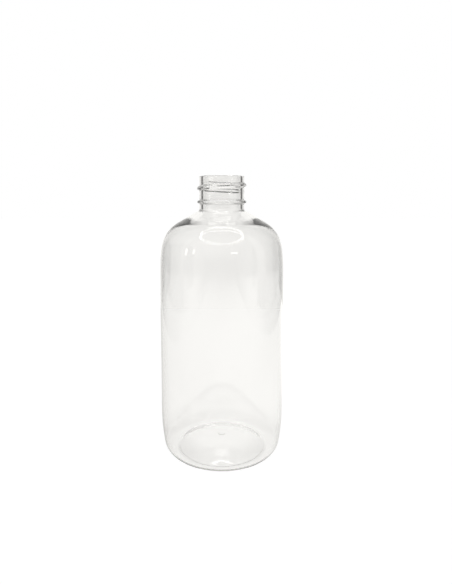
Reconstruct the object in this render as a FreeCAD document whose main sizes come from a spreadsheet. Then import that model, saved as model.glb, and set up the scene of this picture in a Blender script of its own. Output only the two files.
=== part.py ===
"""Round PET bottle with a screw finish, blown in one piece, empty and without its closure.

The wall is a body of revolution: the outside is revolved solid and the cavity is grooved out of it, so
that the thick moulded finish, the thin blown wall and the thicker middle of the base each have their own
gauge. The screw thread is a helical rib that fades into the neck at both ends.
Frame: +Z up along the axis, origin at the centre of the ring that the bottle stands on. Millimetres.
"""
import FreeCAD
import Part
import math
import os
import Sketcher

from FreeCAD import Vector

DRIVING_SIZES = [
    ("overall_height", 136.0, "standing ring to rim"),
    ("body_diameter", 60.5, "outside of the round body"),
    ("wall", 0.5, "gauge of the blown wall"),
    ("heel_radius", 5.8, "round between the standing ring and the heel"),
    ("heel_sweep_radius", 96.0, "long curve from the heel up into the straight wall"),
    ("heel_sweep_angle", 9.6, "turn of that long curve, degrees"),
    ("ring_inner_radius", 21.0, "inner edge of the flat standing ring"),
    ("ring_round", 1.0, "round between the standing ring and the push-up"),
    ("push_up", 4.8, "rise of the underside, level in its middle"),
    ("push_slope", 30.0, "steepest slope of the push-up, beside the standing ring, degrees"),
    ("gate_radius", 1.6, "moulding gate left at the middle of the underside"),
    ("gate_height", 0.3, "how far the gate stands out, and the round of its edge"),
    ("centre_wall", 1.5, "gauge at the middle of the base"),
    ("ring_wall", 0.6, "gauge above the standing ring"),
    ("valley_round", 1.2, "round inside, between the push-up and the floor over the ring"),
    ("floor_slope", 15.0, "rise of that floor towards the wall, degrees"),
    ("inner_heel_radius", 4.5, "round inside, between that floor and the wall"),
    ("shoulder_start", 89.4, "height where the straight wall ends"),
    ("shoulder_sweep_radius", 98.0, "long curve at the start of the shoulder"),
    ("shoulder_sweep_angle", 6.8, "turn of that long curve, degrees"),
    ("shoulder_radius", 17.0, "round of the shoulder"),
    ("cone_slope", 29.5, "slope of the cone under the neck, degrees from level"),
    ("inner_cone_slope", 26.8, "the same on the inside, where the gauge grows towards the neck"),
    ("neck_round", 1.0, "hollow round between the cone and the neck"),
    ("bore_flare_round", 1.2, "round where the bore opens into the shoulder"),
    ("neck_diameter", 21.8, "outside of the neck wall"),
    ("bore_diameter", 18.6, "inside of the neck"),
    ("bead_height", 123.6, "middle of the bead above the standing ring"),
    ("bead_diameter", 23.9, "outside of the bead"),
    ("bead_width", 1.5, "height of the bead, with a half-round edge"),
    ("rim_round", 0.5, "round on the outer edge of the rim"),
    ("lip_round", 0.3, "round on the inner edge of the rim"),
    ("thread_diameter", 23.9, "outside of the thread"),
    ("thread_pitch", 3.175, "rise per turn, eight turns to the inch"),
    ("thread_drop", 7.3, "rim down to the middle of the thread at its lower end"),
    ("thread_start", 12.0, "bearing of the lower end, degrees from +X"),
    ("thread_turn", 500.0, "sweep of the thread, degrees"),
    ("thread_fade", 40.0, "part of the sweep in which each end fades, degrees"),
    ("thread_root_width", 2.3, "width of the thread on the neck"),
    ("thread_crest_width", 0.8, "width of the thread at its crest"),
    ("thread_foot", 0.4, "how deep the thread is rooted in the neck wall"),
]
PUSH_ROUND = "sizes.push_up / (1 - cos(sizes.push_slope)) - sizes.ring_round"
LEVEL_RADIUS = ("sizes.ring_inner_radius"
                " - sizes.push_up * sin(sizes.push_slope) / (1 - cos(sizes.push_slope))")
THREAD_STEP = 12.5          # degrees between the sections that the thread is lofted through
SMOOTH_BEND = 1e-6          # largest sine of a bend that counts as a smooth joint
SAME_PLACE = 0.01           # millimetres within which two sizes are the same
LARGEST_WALL_SHARE = 0.2    # an outline whose cavity was cut holds less solid than this


def make_sheet(doc):
    """Spreadsheet of the driving sizes, one row each: name, value with alias, meaning."""
    sheet = doc.addObject("Spreadsheet::Sheet", "sizes")
    for row, (alias, value, meaning) in enumerate(DRIVING_SIZES, start=1):
        sheet.set(f"A{row}", alias)
        sheet.set(f"B{row}", str(value))
        sheet.set(f"C{row}", meaning)
        sheet.setAlias(f"B{row}", alias)
    doc.recompute()
    return sheet


class Outline:
    """Half section drawn as one running line, with its joints and sizes held by constraints.

    The pen has a place and a heading. Straight runs and arcs are added in order; a smooth joint is a
    tangent constraint, a corner a coincident one. Sketch x is the distance from the axis, y the height.
    """

    def __init__(self, sketch, x, y):
        self.sketch = sketch
        self.start = (x, y)
        self.x, self.y = x, y
        self.heading = None
        self.first = self.last = None

    def join(self, index, heading):
        """Constrain the start of element index to the end of the one before."""
        if self.last is None:
            self.first = index
        else:
            bend = heading - self.heading
            smooth = abs(math.sin(bend)) < SMOOTH_BEND and math.cos(bend) > 0
            kind = "Tangent" if smooth else "Coincident"
            self.sketch.addConstraint(Sketcher.Constraint(kind, *self.last, *index))

    def line_to(self, x, y, level=None):
        """Straight run to a point; level is "Horizontal" or "Vertical" where it is one of them."""
        heading = math.atan2(y - self.y, x - self.x)
        run = Part.LineSegment(Vector(self.x, self.y, 0), Vector(x, y, 0))
        number = self.sketch.addGeometry(run, False)
        self.join((number, 1), heading)
        if level:
            self.sketch.addConstraint(Sketcher.Constraint(level, number))
        self.x, self.y, self.heading, self.last = x, y, heading, (number, 2)
        return number

    def arc(self, radius, turn, heading=None):
        """Arc that leaves at the heading and turns by that many radians, left if positive."""
        heading = self.heading if heading is None else heading
        side = math.copysign(1.0, turn)
        reach = side * radius
        centre = Vector(self.x - reach * math.sin(heading), self.y + reach * math.cos(heading), 0)
        begin = heading - side * math.pi / 2
        low, high = sorted((begin, begin + turn))
        circle = Part.Circle(centre, Vector(0, 0, 1), radius)
        number = self.sketch.addGeometry(Part.ArcOfCircle(circle, low, high), False)
        first, second = (1, 2) if turn > 0 else (2, 1)
        self.join((number, first), heading)
        self.x = centre.x + radius * math.cos(begin + turn)
        self.y = centre.y + radius * math.sin(begin + turn)
        self.heading, self.last = heading + turn, (number, second)
        return number

    def close(self):
        """Run up or down the axis back to the start."""
        number = self.line_to(*self.start, "Vertical")
        self.sketch.addConstraint(Sketcher.Constraint("Coincident", number, 2, *self.first))
        return number

    def hold(self, kind, expression, *where):
        """Dimension bound to the sheet by an expression; an angle is written in degrees."""
        value = self.sketch.Document.sizes.evalExpression(expression)
        if kind == "Angle":
            value = math.radians(value)
        index = self.sketch.addConstraint(Sketcher.Constraint(kind, *where, value))
        self.sketch.setExpression(f"Constraints[{index}]", expression)


def origin_feature(body, role):
    """Origin plane or axis of a body by its role."""
    return next(f for f in body.Origin.OriginFeatures if f.Role == role)


def new_sketch(body, name):
    """Sketch on the body's own XZ plane: x to the right, y up the bottle's axis."""
    sketch = body.newObject("Sketcher::SketchObject", name)
    sketch.AttachmentSupport = [(origin_feature(body, "XZ_Plane"), "")]
    sketch.MapMode = "FlatFace"
    return sketch


def push_round(size):
    """Radius of the push-up's shoulder, which drops by the push-up together with the ring's round."""
    return size["push_up"] / (1 - math.cos(math.radians(size["push_slope"]))) - size["ring_round"]


def level_radius(size):
    """Half width of the push-up's level middle, shared by the underside and the inside."""
    reach = push_round(size) + size["ring_round"]
    return size["ring_inner_radius"] - reach * math.sin(math.radians(size["push_slope"]))


def draw_outside(body, size):
    """Outside of the bottle from the gate up to the rim, closed down the axis."""
    sketch = new_sketch(body, "outside_outline")
    pen = Outline(sketch, 0.0, size["push_up"] - size["gate_height"])
    body_radius, neck_radius = size["body_diameter"] / 2, size["neck_diameter"] / 2

    slope = math.radians(size["push_slope"])
    gate = pen.line_to(size["gate_radius"] - size["gate_height"], pen.y, "Horizontal")
    gate_edge = pen.arc(size["gate_height"], math.pi / 2)
    underside = pen.line_to(level_radius(size), size["push_up"], "Horizontal")
    push_shoulder = pen.arc(push_round(size), -slope)
    ring_round = pen.arc(size["ring_round"], slope)

    sweep = math.radians(size["heel_sweep_angle"])
    heel_reach = size["heel_radius"] * math.cos(sweep) + size["heel_sweep_radius"] * (1 - math.cos(sweep))
    ring = pen.line_to(body_radius - heel_reach, 0.0, "Horizontal")
    heel = pen.arc(size["heel_radius"], math.pi / 2 - sweep)
    heel_sweep = pen.arc(size["heel_sweep_radius"], sweep)
    wall = pen.line_to(body_radius, size["shoulder_start"], "Vertical")

    sweep = math.radians(size["shoulder_sweep_angle"])
    slope = math.radians(size["cone_slope"])
    shoulder_sweep = pen.arc(size["shoulder_sweep_radius"], sweep)
    shoulder = pen.arc(size["shoulder_radius"], math.pi / 2 - slope - sweep)
    cone_foot = neck_radius + size["neck_round"] * (1 - math.sin(slope))
    cone = pen.line_to(cone_foot, pen.y + (pen.x - cone_foot) * math.tan(slope))
    neck_round = pen.arc(size["neck_round"], slope - math.pi / 2)

    bead_round = size["bead_width"] / 2
    neck = pen.line_to(neck_radius, size["bead_height"] - bead_round, "Vertical")
    ledge = pen.line_to(size["bead_diameter"] / 2 - bead_round, pen.y, "Horizontal")
    bead = pen.arc(bead_round, math.pi)
    pen.line_to(neck_radius, pen.y, "Horizontal")
    finish = pen.line_to(neck_radius, size["overall_height"] - size["rim_round"], "Vertical")
    rim_round = pen.arc(size["rim_round"], math.pi / 2)
    rim = pen.line_to(0.0, size["overall_height"], "Horizontal")
    axis = pen.close()

    hold_to_axis(pen, axis)
    pen.hold("DistanceY", "sizes.push_up - sizes.gate_height", -1, 1, gate, 1)
    pen.hold("DistanceX", "sizes.gate_radius - sizes.gate_height", gate, 1, gate, 2)
    pen.hold("Radius", "sizes.gate_height", gate_edge)
    pen.hold("DistanceY", "sizes.push_up", -1, 1, underside, 1)
    pen.hold("Radius", PUSH_ROUND, push_shoulder)
    pen.hold("Radius", "sizes.ring_round", ring_round)
    sketch.addConstraint(Sketcher.Constraint("PointOnObject", ring, 1, -1))
    pen.hold("DistanceX", "sizes.ring_inner_radius", -1, 1, ring, 1)
    pen.hold("Radius", "sizes.heel_radius", heel)
    pen.hold("Radius", "sizes.heel_sweep_radius", heel_sweep)
    pen.hold("DistanceY", "sizes.heel_radius * (1 - sin(sizes.heel_sweep_angle))"
             " + sizes.heel_sweep_radius * sin(sizes.heel_sweep_angle)", -1, 1, wall, 1)
    pen.hold("DistanceX", "sizes.body_diameter / 2", -1, 1, wall, 1)
    pen.hold("DistanceY", "sizes.shoulder_start", -1, 1, wall, 2)
    pen.hold("Radius", "sizes.shoulder_sweep_radius", shoulder_sweep)
    pen.hold("DistanceY", "sizes.shoulder_sweep_radius * sin(sizes.shoulder_sweep_angle)",
             shoulder_sweep, 1, shoulder_sweep, 2)
    pen.hold("Radius", "sizes.shoulder_radius", shoulder)
    pen.hold("Angle", "180 - sizes.cone_slope", cone)
    pen.hold("Radius", "sizes.neck_round", neck_round)
    pen.hold("DistanceX", "sizes.neck_diameter / 2", -1, 1, neck, 1)
    pen.hold("DistanceY", "sizes.bead_height - sizes.bead_width / 2", -1, 1, ledge, 1)
    pen.hold("Radius", "sizes.bead_width / 2", bead)
    pen.hold("DistanceX", "(sizes.bead_diameter - sizes.bead_width) / 2", -1, 1, bead, 3)
    pen.hold("DistanceX", "sizes.neck_diameter / 2", -1, 1, finish, 1)
    pen.hold("Radius", "sizes.rim_round", rim_round)
    pen.hold("DistanceY", "sizes.overall_height", -1, 1, rim, 1)
    return sketch


def draw_cavity(body, size):
    """Inside of the bottle from the middle of the base up through the bore, closed down the axis."""
    sketch = new_sketch(body, "cavity_outline")
    middle = size["push_up"] + size["centre_wall"]
    pen = Outline(sketch, 0.0, middle)
    gauge = size["wall"]
    inner_radius, bore_radius = size["body_diameter"] / 2 - gauge, size["bore_diameter"] / 2

    shoulder_radius = push_round(size) + size["centre_wall"]
    drop = middle - size["ring_wall"]
    slope = math.acos(1 - drop / (shoulder_radius + size["valley_round"]))
    rise = math.radians(size["floor_slope"])
    level = pen.line_to(level_radius(size), middle, "Horizontal")
    push_shoulder = pen.arc(shoulder_radius, -slope)
    valley = pen.arc(size["valley_round"], slope + rise)

    sweep = math.radians(size["heel_sweep_angle"])
    heel_radius, heel_sweep_radius = size["inner_heel_radius"], size["heel_sweep_radius"] - gauge
    heel_end = inner_radius - heel_sweep_radius * (1 - math.cos(sweep))
    heel_start = heel_end - heel_radius * (math.cos(sweep) - math.sin(rise))
    floor = pen.line_to(heel_start, pen.y + (heel_start - pen.x) * math.tan(rise))
    heel = pen.arc(heel_radius, math.pi / 2 - sweep - rise)
    heel_sweep = pen.arc(heel_sweep_radius, sweep)
    wall = pen.line_to(inner_radius, size["shoulder_start"], "Vertical")

    sweep = math.radians(size["shoulder_sweep_angle"])
    slope = math.radians(size["inner_cone_slope"])
    shoulder_sweep = pen.arc(size["shoulder_sweep_radius"] - gauge, sweep)
    shoulder = pen.arc(size["shoulder_radius"] - gauge, math.pi / 2 - slope - sweep)
    cone_foot = bore_radius + size["bore_flare_round"] * (1 - math.sin(slope))
    cone = pen.line_to(cone_foot, pen.y + (pen.x - cone_foot) * math.tan(slope))
    flare = pen.arc(size["bore_flare_round"], slope - math.pi / 2)
    bore = pen.line_to(bore_radius, size["overall_height"], "Vertical")
    mouth = pen.line_to(0.0, size["overall_height"], "Horizontal")
    axis = pen.close()

    hold_to_axis(pen, axis)
    pen.hold("DistanceY", "sizes.push_up + sizes.centre_wall", -1, 1, level, 1)
    pen.hold("DistanceX", LEVEL_RADIUS, level, 1, level, 2)
    pen.hold("Radius", PUSH_ROUND + " + sizes.centre_wall", push_shoulder)
    pen.hold("Radius", "sizes.valley_round", valley)
    pen.hold("DistanceY", "sizes.ring_wall + sizes.valley_round", -1, 1, valley, 3)
    pen.hold("Angle", "sizes.floor_slope", floor)
    pen.hold("Radius", "sizes.inner_heel_radius", heel)
    pen.hold("Radius", "sizes.heel_sweep_radius - sizes.wall", heel_sweep)
    pen.hold("DistanceY", "(sizes.heel_sweep_radius - sizes.wall) * sin(sizes.heel_sweep_angle)",
             heel_sweep, 1, heel_sweep, 2)
    pen.hold("DistanceX", "sizes.body_diameter / 2 - sizes.wall", -1, 1, wall, 1)
    pen.hold("DistanceY", "sizes.shoulder_start", -1, 1, wall, 2)
    pen.hold("Radius", "sizes.shoulder_sweep_radius - sizes.wall", shoulder_sweep)
    pen.hold("DistanceY", "(sizes.shoulder_sweep_radius - sizes.wall) * sin(sizes.shoulder_sweep_angle)",
             shoulder_sweep, 1, shoulder_sweep, 2)
    pen.hold("Radius", "sizes.shoulder_radius - sizes.wall", shoulder)
    pen.hold("Angle", "180 - sizes.inner_cone_slope", cone)
    pen.hold("Radius", "sizes.bore_flare_round", flare)
    pen.hold("DistanceX", "sizes.bore_diameter / 2", -1, 1, bore, 1)
    pen.hold("DistanceY", "sizes.overall_height", -1, 1, mouth, 1)
    return sketch


def hold_to_axis(pen, axis):
    """Keep the closing line on the bottle's axis."""
    pen.sketch.addConstraint(Sketcher.Constraint("PointOnObject", axis, 1, -2))


def revolve(body, kind, name, sketch):
    """Full turn of a half section about the body's Z axis, added or cut away."""
    feature = body.newObject(kind, name)
    feature.Profile = (sketch, [""])
    feature.ReferenceAxis = (origin_feature(body, "Z_Axis"), [""])
    feature.Angle = 360.0
    return feature


def make_wall(doc, size):
    """The bottle without its thread: outside revolved, cavity grooved out, inner lip of the rim rounded."""
    body = doc.addObject("PartDesign::Body", "blown_wall")
    outside = revolve(body, "PartDesign::Revolution", "outside", draw_outside(body, size))
    doc.recompute()
    solid_volume = outside.Shape.Volume
    cavity = revolve(body, "PartDesign::Groove", "cavity", draw_cavity(body, size))
    doc.recompute()
    if cavity.Shape.Volume > LARGEST_WALL_SHARE * solid_volume:
        raise RuntimeError("the cavity wasn't cut")
    lip = body.newObject("PartDesign::Fillet", "lip")
    lip.Base = (cavity, [rim_edge(cavity.Shape, size)])
    lip.setExpression("Radius", "sizes.lip_round")
    doc.recompute()
    return body


def rim_edge(shape, size):
    """Name of the edge where the bore meets the rim."""
    for number, edge in enumerate(shape.Edges, start=1):
        if not isinstance(edge.Curve, Part.Circle):
            continue
        off_radius = abs(edge.Curve.Radius - size["bore_diameter"] / 2)
        off_height = abs(edge.Curve.Center.z - size["overall_height"])
        if max(off_radius, off_height) < SAME_PLACE:
            return f"Edge{number}"
    raise RuntimeError("no edge between bore and rim")


def thread_section(size, turned):
    """Four-sided section of the thread after so many degrees; its crest sinks into the neck at both ends."""
    fade = min(turned, size["thread_turn"] - turned) / size["thread_fade"]
    share = min(max(fade, 0.0), 1.0)
    share = share * share * (3 - 2 * share)
    neck_radius, crest_radius = size["neck_diameter"] / 2, size["thread_diameter"] / 2
    foot = neck_radius - size["thread_foot"]
    sunk_crest = neck_radius - size["thread_foot"] / 2
    crest = sunk_crest + (crest_radius - sunk_crest) * share
    flank = (size["thread_root_width"] - size["thread_crest_width"]) / 2 / (crest_radius - neck_radius)
    foot_half = size["thread_root_width"] / 2 + flank * size["thread_foot"]
    crest_half = foot_half - flank * (crest - foot)
    height = size["overall_height"] - size["thread_drop"] + size["thread_pitch"] * turned / 360
    bearing = math.radians(size["thread_start"] + turned)
    across = Vector(math.cos(bearing), math.sin(bearing), 0)
    corners = [(foot, -foot_half), (crest, -crest_half), (crest, crest_half), (foot, foot_half)]
    return Part.makePolygon([across * r + Vector(0, 0, height + dz) for r, dz in corners + corners[:1]])


def make_thread(doc, size):
    """Right-hand screw thread, lofted through its section every few degrees."""
    steps = round(size["thread_turn"] / THREAD_STEP)
    sections = [thread_section(size, size["thread_turn"] * k / steps) for k in range(steps + 1)]
    thread = doc.addObject("Part::Feature", "thread")
    thread.Shape = Part.makeLoft(sections, True, False)
    return thread


def make_bottle(doc, size):
    """The one moulded piece: wall and thread joined."""
    wall = make_wall(doc, size)
    thread = make_thread(doc, size)
    bottle = doc.addObject("Part::Fuse", "bottle_joined")
    bottle.Base = wall
    bottle.Tool = thread
    bottle.Refine = True
    bottle.Label = "bottle"
    bottle.Placement = FreeCAD.Placement()
    doc.recompute()
    return bottle


def check(doc, parts):
    """Stop if any object failed or a part has no valid shape."""
    for item in doc.Objects:
        if "Invalid" in item.State or "Error" in item.State:
            raise RuntimeError(f"{item.Name}: {item.State}")
        if item.isDerivedFrom("Sketcher::SketchObject") and item.solve() != 0:
            raise RuntimeError(f"{item.Name} doesn't solve")
    for part in parts:
        if part.Shape.isNull() or not part.Shape.isValid() or len(part.Shape.Solids) != 1:
            raise RuntimeError(f"{part.Label} isn't one valid solid")


def main():
    """Build the document, check it and write one STEP file for each part."""
    doc = FreeCAD.newDocument("bottle")
    sheet = make_sheet(doc)
    size = {alias: float(sheet.get(alias)) for alias, value, meaning in DRIVING_SIZES}
    parts = [make_bottle(doc, size)]
    check(doc, parts)
    os.makedirs("parts", exist_ok=True)
    for part in parts:
        part.Shape.exportStep(f"parts/{part.Label}.step")
        box = part.Shape.optimalBoundingBox(True, False)
        print(part.Label, f"{box.XLength:.2f} x {box.YLength:.2f} x {box.ZLength:.2f} mm,",
              f"{part.Shape.Volume / 1000:.2f} cm3 of wall,", len(part.Shape.Faces), "faces")


main()
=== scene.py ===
import math

import bpy
import numpy as np
from bpy.props import FloatProperty, FloatVectorProperty, IntProperty, PointerProperty
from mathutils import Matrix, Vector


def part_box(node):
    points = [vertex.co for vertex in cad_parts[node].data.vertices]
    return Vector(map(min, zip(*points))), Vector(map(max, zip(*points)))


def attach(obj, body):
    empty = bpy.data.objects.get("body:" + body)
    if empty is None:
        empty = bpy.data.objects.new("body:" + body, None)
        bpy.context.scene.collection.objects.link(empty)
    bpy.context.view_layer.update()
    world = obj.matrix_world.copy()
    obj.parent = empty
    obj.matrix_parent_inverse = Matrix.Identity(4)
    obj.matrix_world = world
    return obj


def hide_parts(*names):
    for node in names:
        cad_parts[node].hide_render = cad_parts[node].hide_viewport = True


bl_info = {
    "name": "Screw neck bottle",
    "version": (1, 0, 0),
    "blender": (4, 5, 0),
    "location": "3D View > Sidebar > Bottle",
    "description": "Clear blown PET bottle with a screw finish, in a small light tent",
    "category": "Object",
}

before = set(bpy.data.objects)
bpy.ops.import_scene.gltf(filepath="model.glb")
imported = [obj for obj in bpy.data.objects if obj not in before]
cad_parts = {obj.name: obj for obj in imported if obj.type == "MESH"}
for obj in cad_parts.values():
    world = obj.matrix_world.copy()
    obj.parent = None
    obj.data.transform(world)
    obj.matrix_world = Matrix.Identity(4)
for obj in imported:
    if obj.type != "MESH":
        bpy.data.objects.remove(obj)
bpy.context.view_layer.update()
BOTTLE_LOW, BOTTLE_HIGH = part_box("bottle")
PHOTO_WIDTH, PHOTO_HEIGHT = 452, 584
MM = 0.001
TURN, QUARTER = 2 * math.pi, math.pi / 2
BEAD_FILLET = 0.25 * MM
THREAD_REACH = 0.6  # from the thread's middle to the lowest fine row, as a share of its root
SENSOR_WIDTH = 36.0  # millimetres, as the camera counts them
PATH_BOUNCES, MIRROR_BOUNCES = 32, 16  # light runs far inside a clear wall


def mm(name, value, description):
    """Length property in metres whose default is given in millimetres."""
    return FloatProperty(name=name, description=description, default=value * MM,
                         unit="LENGTH", precision=5)


def degrees(name, value, description):
    """Angle property in radians whose default is given in degrees."""
    return FloatProperty(name=name, description=description, default=math.radians(value),
                         subtype="ANGLE")


def linear(code):
    """Linear RGBA of an sRGB hex colour, by the standard curve with its straight foot."""
    values = np.array([int(code[k:k + 2], 16) for k in (1, 3, 5)]) / 255
    rgb = np.where(values <= 0.04045, values / 12.92, ((values + 0.055) / 1.055) ** 2.4)
    return (*rgb.tolist(), 1.0)


def tone(name, code, description):
    """Colour property whose default is an sRGB hex code."""
    return FloatVectorProperty(name=name, description=description, default=linear(code),
                               subtype="COLOR", size=4, min=0.0, max=1.0)


def number(name, value, description):
    """Property without a unit, such as a brightness, where 1 is white."""
    return FloatProperty(name=name, description=description, default=value)


def corners(name, low, high, description):
    """Two opposite corners of a flat card, in metres; their defaults are given in millimetres."""
    return FloatVectorProperty(name=name, description=description, size=6, unit="LENGTH",
                               precision=4, default=[value * MM for value in low + high])


class BottleWallSizes(bpy.types.PropertyGroup):
    """Blown body, shoulder, heel and base, and the look of its PET."""
    height: FloatProperty(name="Height", description="Standing ring to rim", unit="LENGTH",
                          precision=5, default=round(BOTTLE_HIGH[2] - BOTTLE_LOW[2], 5))
    diameter: FloatProperty(name="Diameter", description="Outside of the body", unit="LENGTH",
                            precision=5, default=round(BOTTLE_HIGH[0] - BOTTLE_LOW[0], 4))
    wall: mm("Wall", 0.5, "Gauge of the blown wall")
    heel_radius: mm("Heel", 5.8, "Round between the standing ring and the heel")
    heel_sweep: mm("Heel sweep", 96.0, "Long curve from the heel into the straight wall")
    heel_angle: degrees("Heel sweep angle", 9.6, "Turn of that long curve")
    ring_inner: mm("Ring", 21.0, "Inner edge of the flat standing ring")
    ring_round: mm("Ring round", 1.0, "Round between the standing ring and the push-up")
    push_up: mm("Push-up", 4.8, "Rise of the underside at the axis")
    push_slope: degrees("Push-up slope", 30.0, "Slope of the push-up beside the standing ring")
    gate_radius: mm("Gate", 1.6, "Radius of the moulding gate under the base")
    gate_height: mm("Gate height", 0.3, "How far the gate stands out, and its edge's round")
    centre_wall: mm("Middle gauge", 1.5, "Gauge at the middle of the base")
    ring_wall: mm("Ring gauge", 0.6, "Gauge above the standing ring")
    valley_round: mm("Inner valley", 1.2, "Round between the push-up and the floor inside")
    floor_slope: degrees("Inner floor slope", 15.0, "Rise of that floor towards the wall")
    inner_heel: mm("Inner heel", 4.5, "Round inside, between that floor and the wall")
    shoulder_start: mm("Shoulder start", 89.4, "Height where the straight wall ends")
    shoulder_sweep: mm("Shoulder sweep", 98.0, "Long curve at the start of the shoulder")
    shoulder_angle: degrees("Shoulder sweep angle", 6.8, "Turn of that long curve")
    shoulder_radius: mm("Shoulder", 17.0, "Round of the shoulder")
    cone_slope: degrees("Cone slope", 29.5, "Slope of the cone under the neck")
    inner_shoulder: mm("Inner shoulder", 15.25, "Round of the shoulder on the inside")
    inner_cone: degrees("Inner cone slope", 25.0, "Slope of the inside where that round ends")
    inner_hollow: mm("Inner hollow", 90.0, "Long hollow of the cone on the inside")
    inner_slope: degrees("Inner neck slope", 31.0, "Slope of the inside beside the neck")
    columns: IntProperty(name="Columns", description="Steps round the axis", default=240)
    skin_colour: tone("Skin", "#ffffff", "Colour of the PET at its surface")
    depth_colour: tone("Depth", "#cccccb", "Colour towards which thick PET turns")
    depth_density: number("Density", 20.0, "Absorption of each metre of PET")
    refraction: number("Refraction", 1.575, "Index at which bottle-grade PET bends light")
    ripple: mm("Ripple", 14.3, "Width of the faint waves in the blown skin")
    ripple_depth: mm("Ripple depth", 0.05, "Height of those waves in the shading")
    ripple_share: number("Ripple share", 0.1, "How much of that height the shading takes")


class FinishSizes(bpy.types.PropertyGroup):
    """Neck with its thread, bead, bore and rim."""
    neck_round: mm("Neck round", 1.0, "Hollow round between the cone and the neck")
    flare_round: mm("Flare round", 1.2, "Round where the bore opens into the shoulder")
    neck_diameter: mm("Neck", 21.8, "Outside of the neck wall")
    bore_diameter: mm("Bore", 18.6, "Inside of the neck")
    bead_height: mm("Bead height", 123.6, "Middle of the bead above the standing ring")
    bead_diameter: mm("Bead", 23.9, "Outside of the bead")
    bead_width: mm("Bead width", 1.5, "Height of the bead")
    rim_round: mm("Rim round", 0.5, "Round on the outer edge of the rim")
    lip_round: mm("Lip round", 0.3, "Round on the inner edge of the rim")
    thread_diameter: mm("Thread", 23.9, "Outside of the thread")
    thread_pitch: mm("Pitch", 3.175, "Rise of the thread in one turn")
    thread_drop: mm("Thread drop", 7.3, "Rim to the middle of the thread at its lower end")
    thread_start: degrees("Thread start", 12.0, "Bearing of the lower end from +X")
    thread_turn: degrees("Thread turn", 500.0, "Sweep of the thread")
    thread_fade: degrees("Thread fade", 40.0, "Part of the sweep in which each end fades")
    thread_root: mm("Thread root", 2.5, "Width of the thread on the neck")
    thread_crest: mm("Thread crest", 0.6, "Width of the thread at its crest")


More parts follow.
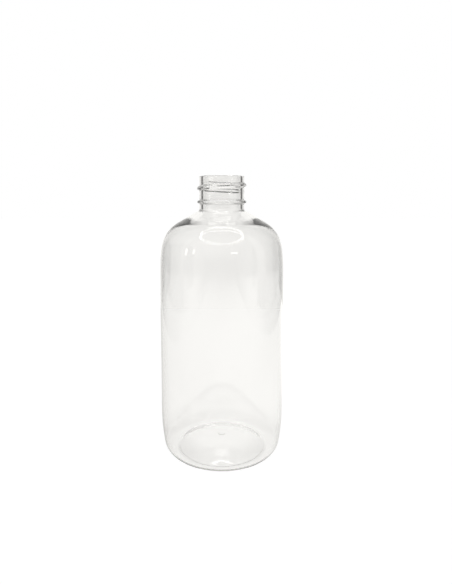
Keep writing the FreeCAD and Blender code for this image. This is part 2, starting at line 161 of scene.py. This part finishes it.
class StudioSizes(bpy.types.PropertyGroup):
    """Camera, white sheet, tent cloths and lamps.

    A level is the brightness that a reflection in the bottle shows, and a glow is what is seen
    straight or through the wall.
    """
    lens_pixels: number("Lens", 467.7, "Focal length in pixels of the photograph")
    camera_distance: mm("Camera distance", 229.1, "Camera in front of the bottle's axis")
    camera_height: mm("Camera height", 123.8, "Camera above the sheet")
    camera_pitch: degrees("Camera pitch", 5.62, "How far the camera looks down")
    axis_column: number("Axis column", 221.8, "Picture column of the bottle's axis")
    level_row: number("Level row", 247.5, "Picture row of the lens axis")
    light: tone("Light", "#fffefb", "Colour of the lamps and of all they light")
    white: tone("White", "#ffffff", "Colour of the ground straight behind the bottle")
    paper: tone("Paper", "#f4f4f4", "Colour of the sheet, which takes the shadow")
    ground_glow: number("Ground glow", 0.95, "Brightness of the sheet straight to the camera")
    through_glow: number("Glow through", 0.93, "Brightness of the sheet through the bottle")
    # painted shadow of the bottle: through it, the sheet glows dimmer under the base and lifts
    # outwards
    base_shadow_glow: number("Glow under", 0.87, "Brightness of the sheet under the base")
    base_shadow_start: mm("Under start", 8.0, "Distance at which that shade begins to lift")
    base_shadow_end: mm("Under end", 60.0, "Distance at which it has lifted")
    floor_fill: number("Floor fill", 0.08, "Light of the surroundings on the sheet")
    sheet_half: mm("Sheet half", 3000.0, "Half side of the sheet")
    sheet_left: mm("Sheet left", 215.0, "Edge of the lit sheet on the left")
    sheet_right: mm("Sheet right", 240.0, "Edge of the lit sheet on the right")
    sheet_edge: mm("Sheet edge", 18.0, "Width over which it turns into the table")
    shade_start: mm("Shade start", 30.0, "Where the shade in front begins to lift")
    shade_end: mm("Shade end", 130.0, "Where that shade has lifted")
    fade_start: mm("Fade start", 180.0, "Where the sheet in front begins to fade")
    fade_end: mm("Fade end", 680.0, "Where the sheet in front has faded")
    sheet_level: number("Sheet level", 0.8, "Brightness of the sheet in front")
    shade_level: number("Shade level", 0.72, "Brightness close to the bottle")
    behind_level: number("Behind level", 0.95, "Brightness of the sheet behind")
    behind_start: degrees("Behind start", 26.7, "Bearing from the side where it begins")
    behind_end: degrees("Behind end", 71.8, "Bearing from the side where it is fully bright")
    # painted light: in a reflection, the sheet and table are dimmer on the left and brighter on
    # the right
    left_light_share: number("Left share", 0.78, "Brightness of the left against the middle")
    right_light_share: number("Right share", 1.22, "Brightness of the right against the middle")
    light_share_reach: mm("Share reach", 150.0, "Distance to the side where those shares hold")
    wing_level: number("Wing level", 0.75, "Brightness of the table at the front corners")
    wing_start: degrees("Wing start", 17.5, "Bearing from the front where its light begins")
    wing_end: degrees("Wing end", 64.2, "Bearing from the front where it is fully lit")
    table_level: number("Table level", 0.45, "Brightness of the table beside the sheet")
    table_start: mm("Table start", 350.0, "Distance at which the table begins to fade")
    table_end: mm("Table end", 1000.0, "Distance at which it has faded")
    table_front: degrees("Table front", 26.7, "Bearing before the side where the corners end")
    table_side: degrees("Table side", 2.9, "Bearing before the side where the table is plain")
    room_level: number("Room level", 0.04, "Brightness of the open room")
    lamp_height: mm("Lamp height", 300.0, "Ring lamp above the sheet")
    lamp_radius: mm("Lamp radius", 128.0, "Radius of the ring of diodes")
    lamp_forward: mm("Lamp forward", 116.0, "Middle of the ring in front of the axis")
    lamp_dots: IntProperty(name="Diodes", description="Diodes in the ring", default=60)
    lamp_dot: mm("Diode", 9.0, "Side of each square diode")
    lamp_level: number("Lamp level", 9.0, "Brightness of each diode")
    back: corners("Back sheet", (-420.0, 300.0, 0.0), (420.0, 300.0, 3000.0),
                  "White sheet behind")
    back_level: number("Back level", 1.0, "Brightness of the back sheet")
    back_start: mm("Back start", 90.0, "Distance to the side at which it begins to fade")
    back_end: mm("Back end", 360.0, "Distance to the side at which it has faded")
    right: corners("Right curtain", (215.0, -110.0, 30.0), (215.0, -35.0, 400.0),
                   "Cloth to the right")
    right_level: number("Right level", 0.42, "Brightness of the cloth to the right")
    left: corners("Left curtain", (-215.0, -85.0, 30.0), (-215.0, -50.0, 400.0),
                  "Cloth to the left")
    left_level: number("Left level", 0.28, "Brightness of the cloth to the left")
    roof: corners("Roof", (-130.0, 30.0, 301.0), (130.0, 180.0, 301.0),
                  "Cloth over the bottle")
    roof_level: number("Roof level", 0.25, "Brightness of the cloth over the bottle")
    panel: corners("Panel", (-45.0, 65.0, 299.0), (45.0, 160.0, 299.0),
                   "Lit panel in that roof")
    panel_level: number("Panel level", 1.4, "Brightness of the lit panel")
    tall: corners("Tall lamp", (-215.0, -190.0, 130.0), (-215.0, -165.0, 190.0),
                  "Lamp at the front left")
    short: corners("Short lamp", (-215.0, -110.0, 115.0), (-215.0, -90.0, 175.0),
                   "Lamp nearer on the left")
    bar: corners("Front bar", (150.0, -500.0, 185.0), (270.0, -500.0, 235.0),
                 "Lamp far in front on the right")
    small_level: number("Small lamps", 2.2, "Brightness of those three lamps")


def add_node(tree, kind, inputs=None, **settings):
    """Add one node: its settings, and each input as a link from an output or as a value."""
    node = tree.nodes.new(kind)
    for name, value in settings.items():
        setattr(node, name, value)
    for socket, value in (inputs or {}).items():
        if isinstance(value, bpy.types.NodeSocket):
            tree.links.new(value, node.inputs[socket])
        else:
            node.inputs[socket].default_value = value
    return node


def new_material(name):
    """Empty node material and its node tree."""
    material = bpy.data.materials.new(name)
    material.use_nodes = True
    material.node_tree.nodes.clear()
    return material, material.node_tree


class Section:
    """Half section drawn as one running line of straight runs and bends, sampled on the way."""

    def __init__(self, r, z):
        self.rows = [np.array([[r, z]])]
        self.r, self.z, self.heading = r, z, 0.0

    def run(self, r, z, steps):
        """Straight line to (r, z): p = a + (b - a) t, in equal steps."""
        share = np.linspace(0.0, 1.0, steps + 1)[1:, None]
        here, there = np.array([self.r, self.z]), np.array([r, z])
        self.rows.append(here + (there - here) * share)
        self.heading = math.atan2(z - self.z, r - self.r)
        self.r, self.z = r, z

    def bend(self, radius, turn, steps):
        """Arc in line with what is drawn, left by turn: p = centre + radius (cos a, sin a)."""
        side = math.copysign(1.0, turn)
        centre = np.array([self.r - side * radius * math.sin(self.heading),
                           self.z + side * radius * math.cos(self.heading)])
        begin = self.heading - side * QUARTER
        angle = begin + turn * np.linspace(0.0, 1.0, steps + 1)[1:, None]
        self.rows.append(centre + radius * np.hstack([np.cos(angle), np.sin(angle)]))
        self.r, self.z = self.rows[-1][-1]
        self.heading += turn

    def points(self):
        """All rows so far, (r, z) each."""
        return np.concatenate(self.rows)


def push_round(size):
    """Radius of the push-up's shoulder: it and the ring round together drop by the whole rise."""
    return size.push_up / (1 - math.cos(size.push_slope)) - size.ring_round


def plateau_radius(size):
    """Half width of the level middle of the push-up."""
    return size.ring_inner - (push_round(size) + size.ring_round) * math.sin(size.push_slope)


def draw_underside(section, size):
    """Gate, push-up with its level middle and two rounds, standing ring, heel and sweep."""
    section.run(size.gate_radius - size.gate_height, section.z, steps=3)
    section.bend(size.gate_height, QUARTER, steps=4)
    section.run(plateau_radius(size), size.push_up, steps=6)
    section.bend(push_round(size), -size.push_slope, steps=20)
    section.bend(size.ring_round, size.push_slope, steps=8)
    cosine = math.cos(size.heel_angle)
    reach = size.heel_radius * cosine + size.heel_sweep * (1 - cosine)
    section.run(size.diameter / 2 - reach, 0.0, steps=2)
    section.bend(size.heel_radius, QUARTER - size.heel_angle, steps=18)
    section.bend(size.heel_sweep, size.heel_angle, steps=8)


def draw_floor(section, size):
    """Level middle, shoulder, valley, rising floor over the ring, inner heel and sweep.

    The shoulder shares its centre with the one outside, and its turn follows from the drop to
    the valley.
    """
    shoulder = push_round(size) + size.centre_wall
    drop = size.push_up + size.centre_wall - size.ring_wall
    slope = math.acos(1 - drop / (shoulder + size.valley_round))
    section.run(plateau_radius(size), section.z, steps=6)
    section.bend(shoulder, -slope, steps=20)
    section.bend(size.valley_round, slope + size.floor_slope, steps=8)
    sweep = size.heel_sweep - size.wall
    turn = QUARTER - size.heel_angle
    heel_end = size.diameter / 2 - size.wall - sweep * (1 - math.cos(size.heel_angle))
    heel_start = heel_end - size.inner_heel * (math.sin(turn) - math.sin(size.floor_slope))
    rise = (heel_start - section.r) * math.tan(size.floor_slope)
    section.run(heel_start, section.z + rise, steps=5)
    section.bend(size.inner_heel, turn - size.floor_slope, steps=16)
    section.bend(sweep, size.heel_angle, steps=8)


def draw_body(section, size, gauge, shoulder, slope):
    """Straight wall, long sweep and the shoulder's round up to the slope of the cone."""
    section.run(size.diameter / 2 - gauge, size.shoulder_start, steps=12)
    section.bend(size.shoulder_sweep - gauge, size.shoulder_angle, steps=8)
    section.bend(shoulder, QUARTER - slope - size.shoulder_angle, steps=26)


def draw_cone(section, slope, neck_radius, neck_round):
    """Cone at its slope and the hollow round into the neck."""
    foot = neck_radius + neck_round * (1 - math.sin(slope))
    section.run(foot, section.z + (section.r - foot) * math.tan(slope), steps=8)
    section.bend(neck_round, slope - QUARTER, steps=6)


def outside_section(size, finish):
    """Outside from the gate at the axis to the start of the lip's round."""
    section = Section(0.0, size.push_up - size.gate_height)
    neck_radius = finish.neck_diameter / 2
    draw_underside(section, size)
    draw_body(section, size, 0.0, size.shoulder_radius, size.cone_slope)
    draw_cone(section, size.cone_slope, neck_radius, finish.neck_round)
    bead_round = finish.bead_width / 2
    section.run(neck_radius, finish.bead_height - bead_round - BEAD_FILLET, steps=4)
    section.bend(BEAD_FILLET, -QUARTER, steps=3)
    section.run(finish.bead_diameter / 2 - bead_round, section.z, steps=1)
    section.bend(bead_round, math.pi, steps=12)
    section.run(neck_radius + BEAD_FILLET, section.z, steps=1)
    section.bend(BEAD_FILLET, -QUARTER, steps=3)
    section.run(neck_radius, thread_low(size, finish), steps=4)
    section.run(neck_radius, size.height - finish.rim_round, steps=74)
    section.bend(finish.rim_round, QUARTER, steps=6)
    section.run(finish.bore_diameter / 2 + finish.lip_round, size.height, steps=3)
    return section.points()


def inside_section(size, finish):
    """Inside from the middle of the base to the start of the lip's round."""
    section = Section(0.0, size.push_up + size.centre_wall)
    bore_radius = finish.bore_diameter / 2
    draw_floor(section, size)
    draw_body(section, size, size.wall, size.inner_shoulder, size.inner_cone)
    section.bend(size.inner_hollow, size.inner_cone - size.inner_slope, steps=8)
    draw_cone(section, size.inner_slope, bore_radius, finish.flare_round)
    section.run(bore_radius, size.height - finish.lip_round, steps=16)
    section.bend(finish.lip_round, -QUARTER, steps=4)
    return section.points()


def thread_low(size, finish):
    """Height of the lowest fine row, just under the thread's lowest flank."""
    return size.height - finish.thread_drop - THREAD_REACH * finish.thread_root


def thread_relief(size, finish, angle, z):
    """How far the thread stands out of the neck at each bearing and height.

    The middle climbs by the pitch in each turn. Across it the height is a smoothstep from the
    width of the root to that of the crest, and along it another fades each end. Where two turns
    reach a place, the higher one counts.
    """
    depth = (finish.thread_diameter - finish.neck_diameter) / 2
    flank = (finish.thread_root - finish.thread_crest) / 2
    relief = np.zeros(np.broadcast(angle, z).shape)
    for lap in range(int(finish.thread_turn // TURN) + 1):
        turned = (angle - finish.thread_start) % TURN + TURN * lap
        middle = size.height - finish.thread_drop + finish.thread_pitch * turned / TURN
        rise = smooth((finish.thread_root / 2 - np.abs(z - middle)) / flank)
        end = smooth(np.minimum(turned, finish.thread_turn - turned) / finish.thread_fade)
        relief = np.maximum(relief, depth * rise * end)
    return relief


def smooth(share):
    """Smoothstep 3 t^2 - 2 t^3 of t held between 0 and 1."""
    t = np.clip(share, 0.0, 1.0)
    return t * t * (3 - 2 * t)


def make_bottle_mesh(size, finish):
    """Closed wall, up the outside and down the inside: ((r + d) cos u, (r + d) sin u, z).

    The relief d of the thread counts only on the outside between its lowest row and the rim.
    """
    outer = outside_section(size, finish)
    inner = inside_section(size, finish)[::-1]
    profile = np.concatenate([outer, inner])
    r, z = profile[1:-1, :1], profile[1:-1, 1:]
    angle = np.linspace(0.0, TURN, size.columns, endpoint=False)[None, :]
    first = int(np.argmax(outer[:, 1] >= thread_low(size, finish))) - 1
    last = int(np.argmax(outer[:, 1] >= size.height - finish.rim_round)) - 1
    on_neck = np.zeros_like(r)
    on_neck[first:last] = 1.0
    radius = r + on_neck * thread_relief(size, finish, angle, z)
    height = np.broadcast_to(z, radius.shape)
    grid = np.stack([radius * np.cos(angle), radius * np.sin(angle), height], -1)
    poles = np.array([[0.0, 0.0, profile[0, 1]], [0.0, 0.0, profile[-1, 1]]])
    vertices = np.concatenate([poles[:1], grid.reshape(-1, 3), poles[1:]])
    return mesh_of_revolution("bottle_wall", vertices, len(r), size.columns)


def mesh_of_revolution(name, vertices, rows, columns):
    """Mesh of rows closed round the axis, with a fan at each pole; faces point outwards.

    The first and last vertices are the poles, and each row holds the columns in turn.
    """
    row, column = np.meshgrid(np.arange(rows - 1), np.arange(columns), indexing="ij")
    here = 1 + row * columns + column
    right = 1 + row * columns + (column + 1) % columns
    quads = np.stack([here, right, right + columns, here + columns], -1).reshape(-1, 4)
    turn = np.arange(columns)
    after = (turn + 1) % columns
    start = np.stack([np.zeros(columns, int), 1 + after, 1 + turn], -1)
    top = 1 + (rows - 1) * columns
    end = np.stack([np.full(columns, top + columns), top + turn, top + after], -1)
    mesh = bpy.data.meshes.new(name)
    mesh.from_pydata(vertices.tolist(), [], start.tolist() + quads.tolist() + end.tolist())
    mesh.shade_smooth()
    mesh.validate()
    return mesh


def add_object(name, mesh, material):
    """Object at the origin with its mesh and material, linked into the scene."""
    piece = bpy.data.objects.new(name, mesh)
    bpy.context.scene.collection.objects.link(piece)
    piece.data.materials.append(material)
    return piece


def clear_pet(size):
    """Clear PET, stretch-blown against a polished mould.

    Its skin is glossy and bends light strongly, with the faint ripple of a wall that set as it
    met the mould. It is nearly colourless, and its thick parts look a touch greyer.
    """
    material, tree = new_material("clear_blown_pet")
    place = add_node(tree, "ShaderNodeTexCoord")
    ripple = add_node(tree, "ShaderNodeTexNoise", {
        "Vector": place.outputs["Object"], "Scale": 1 / size.ripple, "Detail": 1.0})
    bump = add_node(tree, "ShaderNodeBump", {
        "Height": ripple.outputs["Fac"], "Strength": size.ripple_share,
        "Distance": size.ripple_depth})
    skin = add_node(tree, "ShaderNodeBsdfPrincipled", {
        "Base Color": size.skin_colour, "Roughness": 0.0, "IOR": size.refraction,
        "Transmission Weight": 1.0, "Normal": bump.outputs["Normal"]})
    depth = add_node(tree, "ShaderNodeVolumeAbsorption", {
        "Color": size.depth_colour, "Density": size.depth_density})
    add_node(tree, "ShaderNodeOutputMaterial", {
        "Surface": skin.outputs["BSDF"], "Volume": depth.outputs["Volume"]})
    return material


class OBJECT_OT_bottle_wall(bpy.types.Operator):
    """Make the bottle: one closed wall of clear PET with its screw finish."""
    bl_idname = "bottle.wall"
    bl_label = "Bottle"

    def execute(self, context):
        scene = context.scene
        mesh = make_bottle_mesh(scene.bottle_wall, scene.bottle_finish)
        piece = add_object("bottle_wall", mesh, clear_pet(scene.bottle_wall))
        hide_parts("bottle")
        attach(piece, "root")
        return {"FINISHED"}


def mirrored(tree, studio, straight, level):
    """Straight shader, but a glow of the given level on a path that the bottle has reflected."""
    path = add_node(tree, "ShaderNodeLightPath")
    glow = add_node(tree, "ShaderNodeEmission", {"Color": studio.light, "Strength": level})
    both = add_node(tree, "ShaderNodeMixShader", {
        0: path.outputs["Glossy Depth"], 1: straight, 2: glow.outputs[0]})
    return both.outputs[0]


def sheet_levels(tree, studio):
    """Named smooth steps of painted light and shade on the sheet, from a point's place and
    bearing.
    """
    place = add_node(tree, "ShaderNodeTexCoord").outputs["Object"]
    axes = add_node(tree, "ShaderNodeSeparateXYZ", {0: place})
    unit = add_node(tree, "ShaderNodeVectorMath", {0: place}, operation="NORMALIZE")
    bearing = add_node(tree, "ShaderNodeSeparateXYZ", {0: unit.outputs["Vector"]})
    away = add_node(tree, "ShaderNodeVectorMath", {0: place}, operation="LENGTH")
    aside = add_node(tree, "ShaderNodeMath", {0: bearing.outputs["X"]}, operation="ABSOLUTE")
    middle = (studio.sheet_right - studio.sheet_left) / 2
    offset = add_node(tree, "ShaderNodeMath", {0: axes.outputs["X"], 1: middle},
                      operation="SUBTRACT")
    apart = add_node(tree, "ShaderNodeMath", {0: offset.outputs[0]}, operation="ABSOLUTE")
    x, y, ahead = axes.outputs["X"], axes.outputs["Y"], bearing.outputs["Y"]
    half = (studio.sheet_right + studio.sheet_left) / 2
    edge = studio.sheet_edge / 2
    room = studio.room_level
    # what is measured, where the step begins and ends, and the level at each
    steps = {
        "lit": (apart.outputs[0], half - edge, half + edge, 1.0, 0.0),
        "shade": (y, -studio.shade_start, -studio.shade_end,
                  studio.shade_level, studio.sheet_level),
        "fade": (y, -studio.fade_start, -studio.fade_end, 1.0, room),
        "behind": (ahead, math.sin(studio.behind_start), math.sin(studio.behind_end), 0.0, 1.0),
        "wing": (aside.outputs[0], math.sin(studio.wing_start), math.sin(studio.wing_end),
                 room, studio.wing_level),
        "beside": (ahead, -math.sin(studio.table_front), -math.sin(studio.table_side), 0.0, 1.0),
        "dim": (away.outputs["Value"], studio.table_start, studio.table_end, 1.0, room),
        # painted shadow of the bottle under its base
        "under": (away.outputs["Value"], studio.base_shadow_start, studio.base_shadow_end,
                  studio.base_shadow_glow, studio.through_glow),
        # painted light, brighter on the right than on the left
        "share": (x, -studio.light_share_reach, studio.light_share_reach,
                  studio.left_light_share, studio.right_light_share),
    }
    made = {}
    for name, (value, low, high, at_low, at_high) in steps.items():
        step = add_node(tree, "ShaderNodeMapRange", {
            "Value": value, "From Min": low, "From Max": high,
            "To Min": at_low, "To Max": at_high}, interpolation_type="SMOOTHSTEP")
        made[name] = step.outputs["Result"]
    return made


def white_sheet(studio):
    """White paper sheet: matt, and bright enough to render as the photograph's white ground.

    Straight through, it is white, with a painted shadow of the bottle that makes it a touch
    greyer under the base. A path that the bottle has reflected sees painted light and shade:
    the lit sheet, which fades in front, and the table on both sides of it.
    """
    material, tree = new_material("white_sheet")
    step = sheet_levels(tree, studio)
    front = add_node(tree, "ShaderNodeMath", {0: step["shade"], 1: step["fade"]},
                     operation="MULTIPLY")
    sheet = add_node(tree, "ShaderNodeMix", {
        "Factor": step["behind"], "A": front.outputs[0], "B": studio.behind_level})
    corner = add_node(tree, "ShaderNodeMix", {
        "Factor": step["beside"], "A": step["wing"], "B": studio.table_level})
    table = add_node(tree, "ShaderNodeMath", {0: corner.outputs[0], 1: step["dim"]},
                     operation="MULTIPLY")
    even = add_node(tree, "ShaderNodeMix", {
        "Factor": step["lit"], "A": table.outputs[0], "B": sheet.outputs[0]})
    level = add_node(tree, "ShaderNodeMath", {0: even.outputs[0], 1: step["share"]},
                     operation="MULTIPLY")
    paper = add_node(tree, "ShaderNodeBsdfDiffuse", {"Color": studio.paper})
    ground = add_node(tree, "ShaderNodeEmission", {
        "Color": studio.white, "Strength": studio.ground_glow})
    # painted shadow: seen through the bottle, the sheet's glow is dimmer under the base
    through = add_node(tree, "ShaderNodeEmission", {
        "Color": studio.light, "Strength": step["under"]})
    path = add_node(tree, "ShaderNodeLightPath")
    glow = add_node(tree, "ShaderNodeMixShader", {
        0: path.outputs["Is Camera Ray"], 1: through.outputs[0], 2: ground.outputs[0]})
    straight = add_node(tree, "ShaderNodeAddShader", {0: paper.outputs[0], 1: glow.outputs[0]})
    seen = mirrored(tree, studio, straight.outputs[0], level.outputs[0])
    mixed = add_node(tree, "ShaderNodeMixShader", {
        0: path.outputs["Diffuse Depth"], 1: seen, 2: paper.outputs[0]})
    add_node(tree, "ShaderNodeOutputMaterial", {"Surface": mixed.outputs[0]})
    return material


def tent_cloth(name, studio, level):
    """White tent cloth or lamp glass: white straight through, its own level in a reflection."""
    material, tree = new_material(name)
    straight = add_node(tree, "ShaderNodeEmission", {"Color": studio.light, "Strength": 1.0})
    seen = mirrored(tree, studio, straight.outputs[0], level)
    add_node(tree, "ShaderNodeOutputMaterial", {"Surface": seen})
    return material


def back_cloth(studio):
    """White back sheet; in a reflection its painted light fades to the room on both sides."""
    material, tree = new_material("back_sheet")
    place = add_node(tree, "ShaderNodeTexCoord")
    axes = add_node(tree, "ShaderNodeSeparateXYZ", {0: place.outputs["Object"]})
    apart = add_node(tree, "ShaderNodeMath", {0: axes.outputs["X"]}, operation="ABSOLUTE")
    # painted light: brightest in the middle, fading to the sides
    level = add_node(tree, "ShaderNodeMapRange", {
        "Value": apart.outputs[0], "From Min": studio.back_start, "From Max": studio.back_end,
        "To Min": studio.back_level, "To Max": studio.room_level},
        interpolation_type="SMOOTHSTEP")
    straight = add_node(tree, "ShaderNodeEmission", {"Color": studio.light, "Strength": 1.0})
    seen = mirrored(tree, studio, straight.outputs[0], level.outputs["Result"])
    add_node(tree, "ShaderNodeOutputMaterial", {"Surface": seen})
    return material


def make_world(studio):
    """White all round straight through, and the dark room on a path that the bottle reflects."""
    world = bpy.data.worlds.new("studio")
    bpy.context.scene.world = world
    world.use_nodes = True
    tree = world.node_tree
    tree.nodes.clear()
    path = add_node(tree, "ShaderNodeLightPath")
    through = add_node(tree, "ShaderNodeBackground", {"Color": studio.light, "Strength": 1.0})
    seen = through.outputs[0]
    # a later line covers the ones before it
    for depth, colour, strength in (("Glossy Depth", studio.light, studio.room_level),
                                    ("Diffuse Depth", studio.light, studio.floor_fill),
                                    ("Is Camera Ray", studio.white, 1.0)):
        plain = add_node(tree, "ShaderNodeBackground", {"Color": colour, "Strength": strength})
        mixed = add_node(tree, "ShaderNodeMixShader", {
            0: path.outputs[depth], 1: seen, 2: plain.outputs[0]})
        seen = mixed.outputs[0]
    add_node(tree, "ShaderNodeOutputWorld", {"Surface": seen})


def card_corners(ends):
    """Four corners of the flat card between two opposite ones, level or upright."""
    x0, y0, z0, x1, y1, z1 = ends
    if z0 == z1:
        return [(x0, y0, z0), (x1, y0, z0), (x1, y1, z0), (x0, y1, z0)]
    return [(x0, y0, z0), (x1, y1, z0), (x1, y1, z1), (x0, y0, z1)]


def card_mesh(name, cards):
    """Mesh of separate flat cards, four corners each."""
    vertices = np.array(cards).reshape(-1, 3)
    faces = np.arange(len(vertices)).reshape(-1, 4)
    mesh = bpy.data.meshes.new(name)
    mesh.from_pydata(vertices.tolist(), [], faces.tolist())
    return mesh


def add_cards(name, cards, material):
    """Cards of the tent, hidden from the camera itself and from the sheet's own light."""
    card = add_object(name, card_mesh(name, cards), material)
    card.visible_camera = card.visible_diffuse = card.visible_shadow = False


def add_ring_lamp(studio):
    """Square diodes on a level circle: middle = centre + radius (cos a, sin a)."""
    angle = np.linspace(0.0, TURN, studio.lamp_dots, endpoint=False)
    middle = np.stack([studio.lamp_radius * np.cos(angle),
                       studio.lamp_radius * np.sin(angle) - studio.lamp_forward,
                       np.full_like(angle, studio.lamp_height)], -1)
    square = studio.lamp_dot / 2 * np.array([(-1, -1, 0), (-1, 1, 0), (1, 1, 0), (1, -1, 0)])
    add_cards("ring_lamp", middle[:, None, :] + square[None],
              tent_cloth("white_diode", studio, studio.lamp_level))


def add_tent(studio):
    """Back sheet, side curtains, roof with its lit panel, and three small lamps in front."""
    add_cards("back_sheet", [card_corners(studio.back)], back_cloth(studio))
    for name, ends, level in (("right_curtain", studio.right, studio.right_level),
                              ("left_curtain", studio.left, studio.left_level),
                              ("roof_cloth", studio.roof, studio.roof_level),
                              ("roof_panel", studio.panel, studio.panel_level)):
        add_cards(name, [card_corners(ends)], tent_cloth(name, studio, level))
    small = [card_corners(ends) for ends in (studio.tall, studio.short, studio.bar)]
    add_cards("small_lamps", small, tent_cloth("small_lamp", studio, studio.small_level))


def add_camera(scene, studio):
    """Camera at the photograph's place, pitch, lens and framing."""
    data = bpy.data.cameras.new("camera")
    camera = bpy.data.objects.new("camera", data)
    scene.collection.objects.link(camera)
    data.sensor_width = SENSOR_WIDTH
    data.lens = studio.lens_pixels / PHOTO_HEIGHT * data.sensor_width
    data.shift_x = (PHOTO_WIDTH / 2 - studio.axis_column) / PHOTO_HEIGHT
    data.shift_y = -(PHOTO_HEIGHT / 2 - studio.level_row) / PHOTO_HEIGHT
    camera.location = (0.0, -studio.camera_distance, studio.camera_height)
    camera.rotation_euler = (QUARTER - studio.camera_pitch, 0.0, 0.0)
    scene.camera = camera


class OBJECT_OT_bottle_stage(bpy.types.Operator):
    """Make the white sheet, the ring lamp, the surroundings and the camera."""
    bl_idname = "bottle.stage"
    bl_label = "Studio"

    def execute(self, context):
        studio = context.scene.bottle_studio
        make_world(studio)
        half = studio.sheet_half
        sheet_mesh = card_mesh("sheet", [card_corners((-half, -half, 0.0, half, half, 0.0))])
        add_object("sheet", sheet_mesh, white_sheet(studio))
        add_ring_lamp(studio)
        add_tent(studio)
        add_camera(context.scene, studio)
        return {"FINISHED"}


class VIEW3D_PT_bottle(bpy.types.Panel):
    """Sizes of the bottle and its studio, and the buttons that make them."""
    bl_label = "Bottle"
    bl_idname = "VIEW3D_PT_bottle"
    bl_space_type = "VIEW_3D"
    bl_region_type = "UI"
    bl_category = "Bottle"

    def draw(self, context):
        scene = context.scene
        for group in (scene.bottle_wall, scene.bottle_finish, scene.bottle_studio):
            for name in group.bl_rna.properties.keys():
                if name not in ("rna_type", "name"):
                    self.layout.prop(group, name)
        self.layout.operator("bottle.wall")
        self.layout.operator("bottle.stage")


CLASSES = (BottleWallSizes, FinishSizes, StudioSizes, OBJECT_OT_bottle_wall,
           OBJECT_OT_bottle_stage, VIEW3D_PT_bottle)


def register():
    """Make the classes and their groups of sizes known."""
    for item in CLASSES:
        bpy.utils.register_class(item)
    bpy.types.Scene.bottle_wall = PointerProperty(type=BottleWallSizes)
    bpy.types.Scene.bottle_finish = PointerProperty(type=FinishSizes)
    bpy.types.Scene.bottle_studio = PointerProperty(type=StudioSizes)


def unregister():
    """Take them away again, in the opposite order."""
    del bpy.types.Scene.bottle_studio
    del bpy.types.Scene.bottle_finish
    del bpy.types.Scene.bottle_wall
    for item in reversed(CLASSES):
        bpy.utils.unregister_class(item)


def main():
    """Register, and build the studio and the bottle."""
    register()
    bpy.context.scene.view_settings.view_transform = "Standard"
    cycles = bpy.context.scene.cycles
    cycles.max_bounces = cycles.transmission_bounces = PATH_BOUNCES
    cycles.glossy_bounces = MIRROR_BOUNCES
    bpy.ops.bottle.stage()
    bpy.ops.bottle.wall()


if __name__ == "__main__":
    main()
